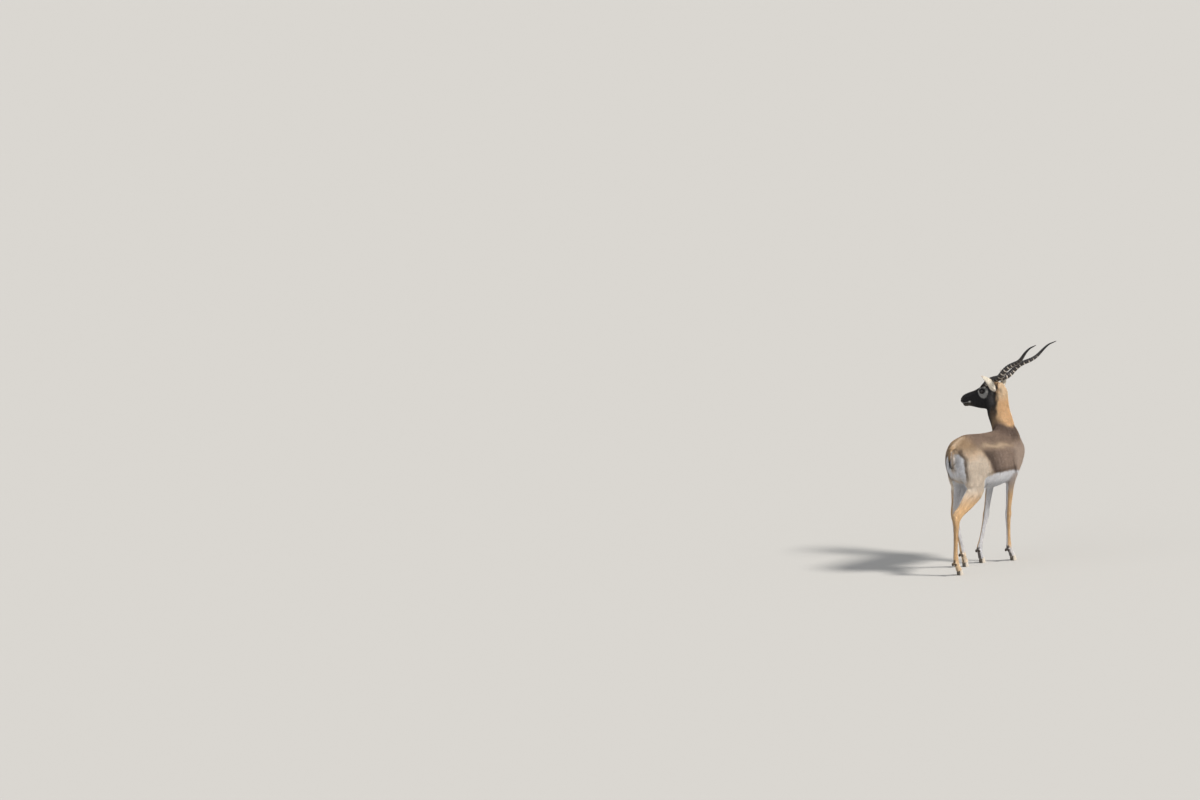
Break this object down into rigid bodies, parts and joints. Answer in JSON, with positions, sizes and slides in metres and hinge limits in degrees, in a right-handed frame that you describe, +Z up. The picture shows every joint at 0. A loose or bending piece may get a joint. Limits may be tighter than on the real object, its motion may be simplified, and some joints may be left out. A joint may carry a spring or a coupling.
{
  "type": "blackbuck model",
  "caption": "Life-size male blackbuck in mid-step, head turned to its left, with long ringed spiral horns.",
  "frame": {"origin": "on the floor, under the middle of the box around the whole animal", "axes": "+X forward along the body, +Y to the animal's left, +Z up"},
  "size_m": [1.0608, 0.5528, 1.316],
  "materials": {
    "coat": "short dull fur",
    "face": "short dark fur",
    "ear": "pale thin fur",
    "eye": "wet gloss",
    "horn": "ringed horn",
    "hoof": "worn hoof",
    "tail": "longer hair"
  },
  "bodies": {
    "root": {"torso": "coat", "neck": "coat", "head": "face", "tail": "tail", "eye_left": "eye", "horn_left": "horn", "ear_left": "ear", "eye_right": "eye", "horn_right": "horn", "ear_right": "ear", "fore_right_leg": "coat", "fore_right_shin": "coat", "fore_right_foot": "coat", "fore_right_claw_left": "hoof", "fore_right_claw_right": "hoof", "fore_left_leg": "coat", "fore_left_shin": "coat", "fore_left_foot": "coat", "fore_left_claw_left": "hoof", "fore_left_claw_right": "hoof", "hind_right_leg": "coat", "hind_right_shin": "coat", "hind_right_foot": "coat", "hind_right_claw_left": "hoof", "hind_right_claw_right": "hoof", "hind_left_leg": "coat", "hind_left_shin": "coat", "hind_left_foot": "coat", "hind_left_claw_left": "hoof", "hind_left_claw_right": "hoof"}
  },
  "joints": []
}
